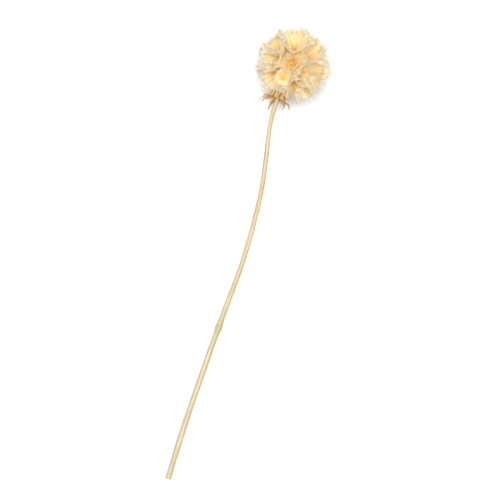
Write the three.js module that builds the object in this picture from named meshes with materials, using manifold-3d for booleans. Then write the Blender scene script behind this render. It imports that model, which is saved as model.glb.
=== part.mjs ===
// A dried and bleached starflower scabiosa stem, cut and laid on its side on a flat surface. The globe of a seed
// head is a receptacle set all round with florets: each one a short tube that opens into a ribbed, fringed paper
// cup with a five-armed star on its floor. Curled bracts hang from a collar under the head, round the top of the
// bent stem.
// Millimetres, +Z up. The stem runs along Y with the head at +Y, and the surface it lies on is z = 0.
import * as THREE from "three";
import { mergeVertices } from "three/addons/utils/BufferGeometryUtils.js";
import Module from "manifold-3d";

const wasm = await Module();
wasm.setup();

const SLIVER = 0.01;

// The head. Every floret points away from HEAD_CENTRE, and the stem comes in against HEAD_AXIS.
const HEAD_CENTRE = new THREE.Vector3(22.5, 101.0, 21.3);
const HEAD_AXIS = directionOf(66, 4.5);
const RECEPTACLE_RADIUS = 5.2;
const RECEPTACLE_BASE = 7.5; // from the centre down to the flat that sits on the stem
const LONG_SIDE = directionOf(45, 0); // the side on which the florets have grown longest
const LONG_SIDE_GAIN = 0.1;

// A floret, measured outwards from the head's centre.
const TUBE_ROOT_HEIGHT = 3.2;
const TUBE_ROOT_RADIUS = 0.8;
const THROAT_HEIGHT = 9.6;
const THROAT_RADIUS = 1.9;
const CUP_WALL = 0.62;
const CUP_PLEAT = 0.16;
const FRINGE_TOOTH = 1.1;
const RIM_POINTS = 40; // a tooth on every second one, a star arm on every eighth
const CELL_SHARE = 0.88; // of the way to the plane between two florets
const PRESSED_BAND = 0.5; // a rim that comes this near to the surface is pressed flat on it

// The calyx star on the floor of each cup.
const STAR_ARM_REACH = 3.2;
const STAR_ARM_RISE = 3.6;
const STAR_VALLEY_RADIUS = 0.62;
const STAR_KNOB_HEIGHT = 1.9;
const GROWN_CUP = 9.0; // a cup shorter than this has a star that is smaller in proportion

// The florets on the side that faces up: direction from the centre, then the cup's length, its free half-angle
// in degrees, how far it is folded shut, from 0 to 1, and how much longer its tube is than the others'.
const FACING_FLORETS = [
  [0.05, -0.02, 1.0, 10.4, 46, 0.0, 0],
  [0.16, 0.62, 0.77, 12.4, 48, 0.1, 0],
  [0.72, 0.24, 0.66, 12.2, 48, 0.1, 0],
  [-0.5, 0.52, 0.7, 11.6, 46, 0.15, 0],
  [-0.66, 0.0, 0.75, 11.4, 46, 0.1, 0],
  [-0.72, -0.42, 0.55, 11.4, 46, 0.15, 0],
  [-0.25, -0.5, 0.83, 3.9, 45, 0.0, 8],
  [0.36, -0.42, 0.83, 10.4, 46, 0.1, 0],
  [0.77, -0.32, 0.55, 11.4, 46, 0.2, 0],
  [0.5, -0.82, 0.28, 11.2, 44, 0.15, 0],
  [0.04, -0.87, 0.5, 10.2, 42, 0.1, 0],
  [0.62, 0.75, 0.22, 12.4, 48, 0.1, 0],
  [0.05, 0.96, 0.22, 12.4, 50, 0.15, 0],
  [-0.62, 0.78, 0.08, 11.6, 46, 0.2, 0],
  [-0.93, 0.33, 0.15, 11.4, 44, 0.15, 0],
  [0.97, 0.1, 0.02, 12.0, 46, 0.1, 0],
];

// The rest of the head fills up from a golden-angle spiral, each floret at least this far from those before it.
const SPIRAL_POINTS = 900;
const LEAST_SPACING = 33; // degrees
const STEM_SPACING = 42; // degrees kept clear round the stem
const CUP_LENGTHS = [10.6, 12.0];
const CUP_HALF_ANGLES = [40, 48];
const CUP_FOLDS = [0, 0.3];
const SEED = 11;

// The stem: the middle of its route from just under the head to the cut end, measured from the head's centre,
// and its radius at both.
const STEM_JOINT_GAP = 0.3;
const STRAIGHT_BELOW_HEAD = 5;
const STEM_ROUTE = [
  [-10.6, -27.8, -3.7],
  [-13.6, -49.8, -6.1],
  [-16.6, -70.0, -7.9],
  [-26.0, -105.5, -11.2],
  [-36.8, -135.0, -13.7],
  [-48.6, -168.0, -16.1],
  [-58.8, -198.0, -18.0],
  [-67.6, -226.4, -19.68],
];
const STEM_TOP_RADIUS = 1.25;
const STEM_END_RADIUS = 1.6;
const STEM_RIB = 0.06; // share of the radius
const STEM_SIDES = 12;
const STEM_STEPS = 58;
const STEM_NODE_AT = 0.62; // of the way down
const STEM_NODE_SWELL = 0.45;
const STEM_NODE_LENGTH = 0.012;

// The involucre: a collar round the stem's top and its reflexed bracts.
const COLLAR_HEIGHT = 2.4;
const COLLAR_WALL = 1.0;
const BRACTS = 9;
const BRACT_LENGTHS = [15.5, 20];
const BRACT_SPREADS = [55, 100]; // degrees that it arches out past the cups, before its tip hangs down again
const BRACT_CURLS = [20, 75]; // degrees that the tip has turned back towards the stem
const BRACT_TWISTS = [-75, 75]; // degrees that the blade turns about its own length
const BRACT_STRAIGHT = 10.5; // how far it runs beside the stem before it bends
const BRACT_LEAN = 13;
const BRACT_HALF_WIDTH = 1.2;
const BRACT_HALF_THICKNESS = 0.36;
const BRACT_STATIONS = 12;

// A direction in the plane of the surface, turned from +X towards +Y, and raised above it, both in degrees.
function directionOf(turn, rise) {
  const t = THREE.MathUtils.degToRad(turn);
  const r = THREE.MathUtils.degToRad(rise);
  return new THREE.Vector3(Math.cos(t) * Math.cos(r), Math.sin(t) * Math.cos(r), Math.sin(r));
}

// The same even draws from 0 to 1 on every run.
function drawsFrom(seed) {
  let state = seed >>> 0;
  return () => {
    state = (Math.imul(state, 1664525) + 1013904223) >>> 0;
    return state / 4294967296;
  };
}

function between([low, high], share) {
  return low + (high - low) * share;
}

// Two directions square to an axis and to each other, so that first x second = axis.
function squareTo(axis) {
  const helper = Math.abs(axis.z) < 0.9 ? new THREE.Vector3(0, 0, 1) : new THREE.Vector3(1, 0, 0);
  const first = helper.cross(axis).normalize();
  return [first, axis.clone().cross(first)];
}

// A closed solid skinned over rings of points. Each ring runs anticlockwise seen from the next one, and has as
// many points as the one before, twice as many or half as many, or is a single tip.
function skinned(rings) {
  const points = [];
  const faces = [];
  const placed = rings.map((ring) => ring.map((p) => points.push(p.x, p.y, p.z) / 3 - 1));
  const capped = (ring, flip) => {
    for (let k = 1; k + 1 < ring.length; k += 1) {
      faces.push(...(flip ? [ring[0], ring[k + 1], ring[k]] : [ring[0], ring[k], ring[k + 1]]));
    }
  };
  capped(placed[0], true);
  for (let i = 0; i + 1 < placed.length; i += 1) {
    const [low, high] = [placed[i], placed[i + 1]];
    const at = (ring, k) => ring[k % ring.length];
    const steps = Math.min(low.length, high.length === 1 ? low.length : high.length);
    for (let k = 0; k < steps; k += 1) {
      if (high.length === 1) {
        faces.push(low[k], at(low, k + 1), high[0]);
      } else if (high.length === low.length) {
        faces.push(low[k], at(low, k + 1), high[k]);
        faces.push(at(low, k + 1), at(high, k + 1), high[k]);
      } else if (high.length > low.length) {
        faces.push(low[k], at(low, k + 1), high[2 * k + 1]);
        faces.push(low[k], high[2 * k + 1], high[2 * k]);
        faces.push(at(low, k + 1), at(high, 2 * k + 2), high[2 * k + 1]);
      } else {
        faces.push(low[2 * k], low[2 * k + 1], high[k]);
        faces.push(low[2 * k + 1], at(low, 2 * k + 2), at(high, k + 1));
        faces.push(low[2 * k + 1], at(high, k + 1), high[k]);
      }
    }
  }
  capped(placed.at(-1), false);
  return new wasm.Manifold(
    new wasm.Mesh({
      numProp: 3,
      vertProperties: new Float32Array(points),
      triVerts: new Uint32Array(faces),
    }),
  );
}

// A three.js geometry as a solid.
function solidOf(geometry) {
  geometry.deleteAttribute("normal");
  geometry.deleteAttribute("uv");
  const merged = mergeVertices(geometry, 1e-4);
  return new wasm.Manifold(
    new wasm.Mesh({
      numProp: 3,
      vertProperties: merged.attributes.position.array,
      triVerts: new Uint32Array(merged.index.array),
    }),
  );
}

// A solid back as a three.js geometry, without the slivers that joining leaves.
function geometryOf(solid) {
  const { vertProperties, triVerts } = solid.simplify(SLIVER).getMesh();
  const geometry = new THREE.BufferGeometry();
  geometry.setAttribute("position", new THREE.BufferAttribute(vertProperties, 3));
  geometry.setIndex(new THREE.BufferAttribute(triVerts, 1));
  geometry.computeVertexNormals();
  return geometry;
}

function meshOf(name, solid, colour, roughness) {
  const material = new THREE.MeshStandardMaterial({ color: colour, roughness, metalness: 0 });
  const mesh = new THREE.Mesh(geometryOf(solid), material);
  mesh.name = name;
  return mesh;
}

// Where the florets point, and the size that each has grown to.
function placeFlorets() {
  const draw = drawsFrom(SEED);
  const florets = [];
  const add = (axis, cupLength, halfAngle, fold, raised = 0) => {
    const gain = 1 + LONG_SIDE_GAIN * axis.dot(LONG_SIDE);
    florets.push({
      axis,
      cupLength: cupLength * gain,
      throatHeight: THROAT_HEIGHT * gain + raised,
      halfAngle: THREE.MathUtils.degToRad(halfAngle),
      fold,
      foldTurn: draw() * Math.PI,
      flare: between([-0.1, 0.25], draw()),
      waveTurn: draw() * 2 * Math.PI,
      starTurn: draw() * 2 * Math.PI,
    });
  };
  for (const [x, y, z, cupLength, halfAngle, fold, raised] of FACING_FLORETS) {
    add(new THREE.Vector3(x, y, z).normalize(), cupLength, halfAngle, fold, raised);
  }
  const golden = Math.PI * (3 - Math.sqrt(5));
  const [first, second] = squareTo(HEAD_AXIS);
  const stemSide = HEAD_AXIS.clone().negate();
  for (let k = 0; k < SPIRAL_POINTS; k += 1) {
    const along = 1 - (2 * k + 1) / SPIRAL_POINTS;
    const out = Math.sqrt(1 - along * along);
    const axis = HEAD_AXIS.clone()
      .multiplyScalar(along)
      .addScaledVector(first, out * Math.cos(golden * k))
      .addScaledVector(second, out * Math.sin(golden * k));
    const apart = Math.min(...florets.map((f) => f.axis.angleTo(axis)));
    if (
      THREE.MathUtils.radToDeg(apart) >= LEAST_SPACING &&
      THREE.MathUtils.radToDeg(axis.angleTo(stemSide)) >= STEM_SPACING
    ) {
      const [a, b, c] = [draw(), draw(), draw()];
      add(axis, between(CUP_LENGTHS, a), between(CUP_HALF_ANGLES, b), between(CUP_FOLDS, c));
    }
  }
  return florets;
}

// How far the cup leans out from its floret's axis towards direction e, in radians. A neighbour's cup, and the
// stem's clear space, hold it inside the plane halfway between: out / height stays under the plane's slope.
function leanOf(floret, neighbours, e, turn) {
  let crowd = 0;
  for (const other of neighbours) {
    const normal = other.clone().sub(floret.axis).normalize();
    const facing = e.dot(normal);
    if (facing > 0.05) {
      crowd += Math.pow(facing / -floret.axis.dot(normal), 8);
    }
  }
  const slope = CELL_SHARE / Math.pow(crowd, 1 / 8);
  const spare = floret.throatHeight * slope - THROAT_RADIUS;
  const reach = spare / (floret.cupLength * Math.hypot(1, slope));
  const crowded = Math.atan(slope) + Math.asin(THREE.MathUtils.clamp(reach, -1, 1));
  const folded = 1 - floret.fold * Math.cos(turn - floret.foldTurn) ** 2;
  return Math.min(crowded, floret.halfAngle) * folded;
}

// One floret: its tube, its cup with a pleated wall and toothed rim, and the star on its floor.
function floretSolid(floret, neighbours) {
  const [first, second] = squareTo(floret.axis);
  const around = (turn) =>
    first.clone().multiplyScalar(Math.cos(turn)).addScaledVector(second, Math.sin(turn));
  const placed = (e, out, height) =>
    HEAD_CENTRE.clone().addScaledVector(e, out).addScaledVector(floret.axis, height);
  const ring = (count, pointAt) =>
    Array.from({ length: count }, (_, k) => {
      const turn = floret.starTurn + (2 * Math.PI * k) / count;
      return pointAt(around(turn), turn, k);
    });
  // A ring of the cup's wall at share of its length, on its outside (side 1) or its inside (side -1).
  const wall = (count, share, side) =>
    ring(count, (e, turn, k) => {
      const lean = leanOf(floret, neighbours, e, turn);
      const tooth = share === 1 && k % 2 === 0 ? FRINGE_TOOTH : 0;
      const length = floret.cupLength * share + tooth;
      const flared = share + floret.flare * (share * share - share);
      const pleat = share === 1 ? (k % 2 ? -CUP_PLEAT : CUP_PLEAT) : 0;
      const offset = (side * CUP_WALL) / 2 + pleat;
      const out = THROAT_RADIUS + (floret.cupLength * flared + tooth) * Math.sin(lean);
      const height = floret.throatHeight + length * Math.cos(lean);
      const point = placed(e, out + offset * Math.cos(lean), height - offset * Math.sin(lean));
      return point.z < PRESSED_BAND ? point.setZ(Math.min(point.z, -PRESSED_BAND)) : point;
    });
  const quarter = RIM_POINTS / 4;
  const floor = floret.throatHeight + CUP_WALL;
  const grown = Math.min(1, floret.cupLength / GROWN_CUP);
  return skinned([
    ring(quarter, (e) => placed(e, TUBE_ROOT_RADIUS, TUBE_ROOT_HEIGHT)),
    ring(quarter, (e) => placed(e, THROAT_RADIUS + CUP_WALL / 2, floret.throatHeight)),
    wall(RIM_POINTS / 2, 0.55, 1),
    wall(RIM_POINTS, 1, 1),
    wall(RIM_POINTS, 1, -1),
    wall(RIM_POINTS / 2, 0.55, -1),
    ring(quarter, (e) => placed(e, THROAT_RADIUS - CUP_WALL / 2, floor)),
    ring(quarter, (e) => placed(e, STAR_VALLEY_RADIUS, floor)),
    ring(quarter, (e, turn, k) =>
      k % 2
        ? placed(e, STAR_VALLEY_RADIUS, floor + CUP_WALL)
        : placed(e, STAR_ARM_REACH * grown, floor + STAR_ARM_RISE * grown),
    ),
    [placed(first, 0, floor + STAR_KNOB_HEIGHT)],
  ]);
}

// The receptacle that the florets stand on, flat where it sits on the stem and the collar.
function receptacleSolid() {
  const turned = new THREE.Quaternion().setFromUnitVectors(new THREE.Vector3(0, 1, 0), HEAD_AXIS);
  const profile = [new THREE.Vector2(0, -RECEPTACLE_BASE)];
  const steps = 8;
  const flat = STEM_TOP_RADIUS + STEM_JOINT_GAP + COLLAR_WALL;
  for (let k = 0; k <= steps; k += 1) {
    const turn = (Math.PI * k) / steps;
    const radius = Math.max(RECEPTACLE_RADIUS * Math.sin(turn), k === 0 ? flat : 0);
    const height = k === 0 ? -RECEPTACLE_BASE : -RECEPTACLE_RADIUS * Math.cos(turn);
    profile.push(new THREE.Vector2(k === steps ? 0 : radius, height));
  }
  const geometry = new THREE.LatheGeometry(profile, 16);
  geometry.applyQuaternion(turned).translate(HEAD_CENTRE.x, HEAD_CENTRE.y, HEAD_CENTRE.z);
  return solidOf(geometry);
}

// The whole seed head in one body, trimmed level where its lowest cups are pressed on the surface.
function seedHeadSolid() {
  const florets = placeFlorets();
  const stemSide = HEAD_AXIS.clone().negate();
  const head = florets.reduce((sum, floret) => {
    const neighbours = [...florets.filter((f) => f !== floret).map((f) => f.axis), stemSide];
    return sum.add(floretSolid(floret, neighbours));
  }, receptacleSolid());
  const below = new THREE.BoxGeometry(200, 200, 20);
  below.translate(HEAD_CENTRE.x, HEAD_CENTRE.y, -10);
  return head.subtract(solidOf(below));
}

function stemRoute() {
  const below = (distance) => HEAD_CENTRE.clone().addScaledVector(HEAD_AXIS, -distance);
  const top = RECEPTACLE_BASE + STEM_JOINT_GAP;
  const straight = [below(top), below(top + STRAIGHT_BELOW_HEAD / 2), below(top + STRAIGHT_BELOW_HEAD)];
  const route = STEM_ROUTE.map((p) => new THREE.Vector3(...p).add(HEAD_CENTRE));
  return new THREE.CatmullRomCurve3([...straight, ...route], false, "centripetal");
}

// The stem: a ribbed round section carried along its route, a little thicker at its one node and towards the cut.
function stemSolid() {
  const route = stemRoute();
  const frames = route.computeFrenetFrames(STEM_STEPS, false);
  const rings = Array.from({ length: STEM_STEPS + 1 }, (_, i) => {
    const share = i / STEM_STEPS;
    const swell = STEM_NODE_SWELL * Math.exp(-(((share - STEM_NODE_AT) / STEM_NODE_LENGTH) ** 2));
    const radius = between([STEM_TOP_RADIUS, STEM_END_RADIUS], share) + swell;
    const centre = route.getPointAt(share);
    return Array.from({ length: STEM_SIDES }, (_, k) => {
      const turn = (2 * Math.PI * k) / STEM_SIDES;
      const r = radius * (1 - (k % 2) * STEM_RIB);
      return centre
        .clone()
        .addScaledVector(frames.normals[i], r * Math.cos(turn))
        .addScaledVector(frames.binormals[i], r * Math.sin(turn));
    });
  });
  return skinned(rings);
}

// The collar and the bracts that curl down and out from it, as one body.
function involucreSolid() {
  const turned = new THREE.Quaternion().setFromUnitVectors(new THREE.Vector3(0, 1, 0), HEAD_AXIS);
  const top = -(RECEPTACLE_BASE + STEM_JOINT_GAP);
  const inner = STEM_TOP_RADIUS + STEM_JOINT_GAP;
  const outer = inner + COLLAR_WALL;
  const profile = [
    new THREE.Vector2(inner, top - COLLAR_HEIGHT),
    new THREE.Vector2(outer * 0.92, top - COLLAR_HEIGHT),
    new THREE.Vector2(outer, top),
    new THREE.Vector2(inner, top),
    new THREE.Vector2(inner, top - COLLAR_HEIGHT),
  ];
  const collar = new THREE.LatheGeometry(profile, 18);
  collar.applyQuaternion(turned).translate(HEAD_CENTRE.x, HEAD_CENTRE.y, HEAD_CENTRE.z);
  const draw = drawsFrom(SEED + 1);
  const [first, second] = squareTo(HEAD_AXIS);
  const bracts = Array.from({ length: BRACTS }, (_, k) => {
    const turn = (2 * Math.PI * (k + 0.25 * draw())) / BRACTS;
    const out = first.clone().multiplyScalar(Math.cos(turn)).addScaledVector(second, Math.sin(turn));
    const root = HEAD_CENTRE.clone()
      .addScaledVector(out, (inner + outer) / 2)
      .addScaledVector(HEAD_AXIS, top - COLLAR_HEIGHT * 0.3);
    const shape = [BRACT_LENGTHS, BRACT_SPREADS, BRACT_CURLS, BRACT_TWISTS].map((limits) => between(limits, draw()));
    return bractSolid(root, out, ...shape);
  });
  return bracts.reduce((sum, bract) => sum.add(bract), solidOf(collar));
}

// A bract: a lance-shaped blade that runs down beside the stem, arches out under the cups and hooks its tip down.
function bractSolid(root, out, length, spread, curl, twist) {
  const across = HEAD_AXIS.clone().cross(out);
  const at = root.clone();
  const rings = [];
  const step = length / (BRACT_STATIONS - 1);
  for (let i = 0; i < BRACT_STATIONS; i += 1) {
    const share = i / (BRACT_STATIONS - 1);
    const bend = Math.max(0, share * length - BRACT_STRAIGHT) / (length - BRACT_STRAIGHT);
    const arch = spread * Math.sin(Math.PI * bend ** 0.6) - curl * bend * bend;
    const lean = THREE.MathUtils.degToRad(BRACT_LEAN + arch);
    const along = HEAD_AXIS.clone().multiplyScalar(-Math.cos(lean)).addScaledVector(out, Math.sin(lean));
    const side = across.clone().applyAxisAngle(along, THREE.MathUtils.degToRad(twist * bend));
    const flat = along.clone().cross(side);
    const width = BRACT_HALF_WIDTH * (0.7 + 0.6 * share) * (1 - share ** 3) + 0.12;
    const thick = BRACT_HALF_THICKNESS * (1 - 0.55 * share);
    rings.push([
      at.clone().addScaledVector(side, -width),
      at.clone().addScaledVector(flat, -thick),
      at.clone().addScaledVector(side, width),
      at.clone().addScaledVector(flat, thick),
    ]);
    at.addScaledVector(along, step);
  }
  return skinned(rings);
}

const scabiosa = new THREE.Group();
scabiosa.add(meshOf("stem", stemSolid(), 0xe3d2ae, 0.75));
scabiosa.add(meshOf("involucre", involucreSolid(), 0xb98f56, 0.85));
scabiosa.add(meshOf("seed_head", seedHeadSolid(), 0xf6dfb6, 0.8));

export default scabiosa;
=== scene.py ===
import math

import bpy
import numpy as np
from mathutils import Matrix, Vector


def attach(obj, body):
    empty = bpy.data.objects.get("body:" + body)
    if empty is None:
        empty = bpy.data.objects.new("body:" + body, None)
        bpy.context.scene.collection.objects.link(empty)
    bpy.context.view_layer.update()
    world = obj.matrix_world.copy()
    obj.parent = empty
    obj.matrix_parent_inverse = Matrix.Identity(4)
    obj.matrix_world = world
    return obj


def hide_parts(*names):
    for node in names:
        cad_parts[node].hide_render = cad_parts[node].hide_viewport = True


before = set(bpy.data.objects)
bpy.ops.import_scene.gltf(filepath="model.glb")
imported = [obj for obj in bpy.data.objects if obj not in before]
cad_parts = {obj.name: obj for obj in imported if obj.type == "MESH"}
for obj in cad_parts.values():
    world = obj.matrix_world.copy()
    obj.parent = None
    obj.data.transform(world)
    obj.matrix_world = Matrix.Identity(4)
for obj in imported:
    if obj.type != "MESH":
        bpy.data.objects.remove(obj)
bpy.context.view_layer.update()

# A dried, bleached starflower scabiosa stem, laid on its side. Florets stand all round one receptacle: each
# is a fluted tube that opens into a ribbed papery cup, with a fringe of fine rays and a five-armed star on
# its floor. Bracts curl down from a collar under the head. Shapes are worked out in millimetres and go into
# Blender in metres.

bl_info = {
    "name": "Dried scabiosa stem",
    "version": (1, 0, 0),
    "blender": (4, 5, 0),
    "location": "3D View > Sidebar > Scabiosa",
    "description": "Builds a bleached starflower scabiosa: papery cups, rays, stars, bracts and stem",
    "category": "Add Mesh",
}

MM = 0.001  # a millimetre in metres

# The head's place, and sizes that the solids have too. The head's axis points away from the stem. It is
# turned from +X, and raised above the surface, by so many degrees.
HEAD_CENTRE = np.array([22.5, 101.0, 21.3])
HEAD_TURN = 66.0
HEAD_RISE = 4.5
RECEPTACLE_RADIUS = 5.2
RECEPTACLE_BASE = 7.5
LONG_SIDE_TURN = 45.0
LONG_SIDE_GAIN = 0.1
TUBE_ROOT_HEIGHT = 3.2
TUBE_ROOT_RADIUS = 0.8
THROAT_HEIGHT = 9.6
THROAT_RADIUS = 1.9

# The florets that face up. Each row is a direction from the head's centre, the cup's length, its free
# half-angle in degrees, how far it is folded shut, from 0 to 1, and how much longer its tube is than the
# others'.
FACING_FLORETS = [
    [0.05, -0.02, 1.0, 10.4, 46, 0.0, 0],
    [0.16, 0.62, 0.77, 12.4, 48, 0.1, 0],
    [0.72, 0.24, 0.66, 12.2, 48, 0.1, 0],
    [-0.5, 0.52, 0.7, 11.6, 46, 0.15, 0],
    [-0.66, 0.0, 0.75, 11.4, 46, 0.1, 0],
    [-0.72, -0.42, 0.55, 11.4, 46, 0.15, 0],
    [-0.25, -0.5, 0.83, 3.9, 45, 0.0, 8],
    [0.36, -0.42, 0.83, 10.4, 46, 0.1, 0],
    [0.77, -0.32, 0.55, 11.4, 46, 0.2, 0],
    [0.5, -0.82, 0.28, 11.2, 44, 0.15, 0],
    [0.04, -0.87, 0.5, 10.2, 42, 0.1, 0],
    [0.62, 0.75, 0.22, 12.4, 48, 0.1, 0],
    [0.05, 0.96, 0.22, 12.4, 50, 0.15, 0],
    [-0.62, 0.78, 0.08, 11.6, 46, 0.2, 0],
    [-0.93, 0.33, 0.15, 11.4, 44, 0.15, 0],
    [0.97, 0.1, 0.02, 12.0, 46, 0.1, 0],
]

# The rest stand on a spiral, at least so many degrees from each other and from the stem, with drawn sizes.
SPIRAL_POINTS = 900
LEAST_SPACING = 33.0
STEM_SPACING = 42.0
CUP_LENGTHS = (10.6, 12.0)
CUP_HALF_ANGLES = (40, 48)
CUP_FOLDS = (0, 0.3)
CUP_FLARES = (-0.1, 0.25)
SEED = 11

# The stem, as the solids have it: its route from the head's centre, its radii at the head and at the cut,
# and its node, placed and measured in shares of the length. Only the scene's stem has ribs, whose depths
# are shares of the radius and which twist by so many radians, and a scar that runs round the node in two
# dips. The rings at its cut, two for the rind and two for the pith, each have a share of the radius and a
# depth that they are sunk.
STEM_JOINT_GAP = 0.3
STRAIGHT_BELOW_HEAD = 5
STEM_ROUTE = [
    [-10.6, -27.8, -3.7],
    [-13.6, -49.8, -6.1],
    [-16.6, -70.0, -7.9],
    [-26.0, -105.5, -11.2],
    [-36.8, -135.0, -13.7],
    [-48.6, -168.0, -16.1],
    [-58.8, -198.0, -18.0],
    [-67.6, -226.4, -19.68],
]
STEM_RADII = (1.25, 1.6)
STEM_NODE_AT = 0.62
STEM_NODE_SWELL = 0.45
STEM_NODE_LENGTH = 0.012
SCAR_HEIGHT = 0.14
SCAR_DIP = 0.002
SCAR_WIDTH = 0.0018
STEM_SAMPLES = 900
STEM_SIDES = 56
STEM_TWIST = 1.2
STEM_SHRINK = 0.965
STEM_RIBS = 9
STEM_RIB_DEPTH = 0.035
STEM_FINE_RIBS = 17
STEM_FINE_RIB_DEPTH = 0.015
CUT_RINGS = ((0.97, 0.0), (0.72, 0.02), (0.62, 0.3), (0.1, 0.4))

# The collar and the bracts, placed as the solids' are. Spreads, curls, twists and the lean are in degrees.
COLLAR_HEIGHT = 2.4
COLLAR_WALL = 1.0
BRACTS = 9
BRACT_LENGTHS = (15.5, 20)
BRACT_SPREADS = (55, 100)
BRACT_CURLS = (20, 75)
BRACT_TWISTS = (-75, 75)
BRACT_STRAIGHT = 10.5
BRACT_LEAN = 13.0
BRACT_HALF_WIDTH = 1.2
BRACT_THICK = 0.1
BRACT_CHANNEL = 0.5
BRACT_CRUMPLE = 0.13
BRACT_STEPS = 34
BRACT_SIDES = 24
COLLAR_SIDES = 72
COLLAR_RIBS = 18
COLLAR_RIB_DEPTH = 0.05

# How the papery cups look close to. Each fills a drawn share of its cell, nods, is squashed out of round,
# opens a little wider than the solids' and folds, with its tilts in radians and the front cup's nod given.
# Its membrane ends in a tooth at each rib. A cup shorter than a grown one folds less, and its star is
# smaller.
CUP_SHARES = (0.98, 1.22)
CUP_TILT = 0.28
FRONT_CUP_NOD = (0.42, 0.1)
CUP_SQUASH = 0.16
CUP_OPENS = 0.12
CUP_BELL = 0.12
RIM_WAVE = 0.045
RIBS = 36
RIB_PLEAT = 0.22
FOLD_DEPTH = 2.4
GROWN_CUP = 9.0
MEMBRANE = 0.07
EDGE_AT = 0.8
EDGE_TOOTH = 0.11
PRESSED = 0.4
CUP_RINGS = 8
TURNS_PER_RIB = 4

# The tube under each cup: how far up to the throat its rings stand, their radii, its flutes and its plug.
TUBE_SHARES = (0, 0.38, 0.8)
TUBE_RADII = (TUBE_ROOT_RADIUS, 1.2, 1.35)
TUBE_FLUTES = 8
FLUTE_DEPTH = 0.07
PLUG_RADIUS = 0.9
PLUG_RISE = 0.2

# The ribs, each running on past the membrane as a ray: where its rings stand along the wall, its thickness
# at each ring and the ring's place in the ray's colours. Between the ribs stand hairs, one in each gap
# stouter than the rest, which head out as the last bit of the wall does. The scatter is the spread of the
# directions.
RIB_STATIONS = (0.1, 0.4, 0.7, 0.88, 1.0)
RIB_TAPER = (0.7, 0.85, 1.0, 0.95, 0.8, 0.55, 0.2)
RIB_SHADES = (0.1, 0.35, 0.6, 0.75, 0.85, 0.94, 1.0)
RAY_EXTRA = (0.2, 0.75)
RAY_SCATTER = 0.05
RAY_BENDS = (0.4, 1.6)
HAIRS_PER_RIB = 6
HAIR_JITTER = 0.3
HAIR_START = (0.92, 1.0)
HAIR_ROOT = 0.2
HAIR_BENDS = (0.5, 1.6)
HAIR_SHARES = (0.75, 1.1)
STOUT_HAIR_SHARES = (0.95, 1.2)
HAIR_RADIUS = 0.36
STOUT_HAIR_RADIUS = 0.6
HAIR_TAPER = (1.0, 0.85, 0.3)
HAIR_SHADES = (0.85, 0.93, 1.0)

# The star on each cup's floor: a knob, and five arms that lean out by so many degrees, clear of the wall.
STAR_ARMS = 5
ARM_FOOT_OUT = 0.35
ARM_FOOT_RISE = 0.9
ARM_RISE = 4.4
ARM_RISE_SHARES = (0.85, 1.1)
ARM_LEAN = 24
ARM_CLEAR = 0.86
ARM_RADII = (0.22, 0.2, 0.16, 0.11, 0.05)
KNOB_SIDES = 20
KNOB_HEIGHTS = (0.1, 0.9, 1.5, 1.75)
KNOB_RADII = (0.4, 0.5, 0.6, 0.35)
KNOB_LOBE = 0.16

# The receptacle's rings, which stop so many radians from its poles, its pits, and the neck that it narrows
# to where it sits on the stem.
RECEPTACLE_SIDES = 64
RECEPTACLE_RINGS = 28
POLE_GAP = 0.12
PIT_DEPTH = 0.03
PITS_ROUND = 9
PITS_UP = 7
NECK_FROM = 0.75
NECK_RADIUS = 2.2

# The stage: each lamp's name, place, width and power, in metres and watts, half the floor's width in
# millimetres, the point that the camera looks at and how far off it stands, in metres, and its focal length
# in millimetres.
LAMPS = (
    ("key", (-0.3, 0.3, 1.1), 0.9, 10.0),
    ("fill", (0.08, -0.2, 1.2), 0.9, 28.0),
)
FLOOR_HALF_SIZE = 3000.0
CAMERA_TARGET = (0.0, 0.0, 0.012)
CAMERA_DISTANCE = 0.77
CAMERA_LENS = 100


def linear(code):
    """A colour in sRGB hex, such as #F6E3C2, as the linear red, green and blue that Blender works in."""
    parts = [int(code[i : i + 2], 16) / 255 for i in (1, 3, 5)]
    return tuple(c / 12.92 if c <= 0.04045 else ((c + 0.055) / 1.055) ** 2.4 for c in parts)


def unit(vectors):
    """Each vector divided by its length."""
    return vectors / np.linalg.norm(vectors, axis=-1, keepdims=True)


def direction_of(turn, rise):
    """A unit vector turned from +X towards +Y and raised above the surface, both in degrees."""
    t, r = math.radians(turn), math.radians(rise)
    return np.array([math.cos(t) * math.cos(r), math.sin(t) * math.cos(r), math.sin(r)])


HEAD_AXIS = direction_of(HEAD_TURN, HEAD_RISE)


def full_turn(count):
    """Even turns once round, in radians, from 0 to one step short of a whole turn."""
    return 2 * np.pi * np.arange(count) / count


def square_to(axis):
    """Two unit vectors square to each axis and to each other, with first x second = axis."""
    helper = np.where(np.abs(axis[..., 2:3]) < 0.9, [0.0, 0.0, 1.0], [1.0, 0.0, 0.0])
    first = unit(np.cross(helper, axis))
    return first, np.cross(axis, first)


def circle(first, second, turns):
    """Unit vectors at each turn from the first vector towards the second: (..., turns, 3)."""
    return first[..., None, :] * np.cos(turns)[..., None] + second[..., None, :] * np.sin(turns)[..., None]


def draws_from(seed):
    """Even draws from 0 to 1, the same each run: a state is the last one times a constant plus another."""
    state = seed
    while True:
        state = (state * 1664525 + 1013904223) & 0xFFFFFFFF
        yield state / 4294967296


def between(limits, share):
    """The number that lies this share of the way from the first limit to the second."""
    return limits[0] + (limits[1] - limits[0]) * share


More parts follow.
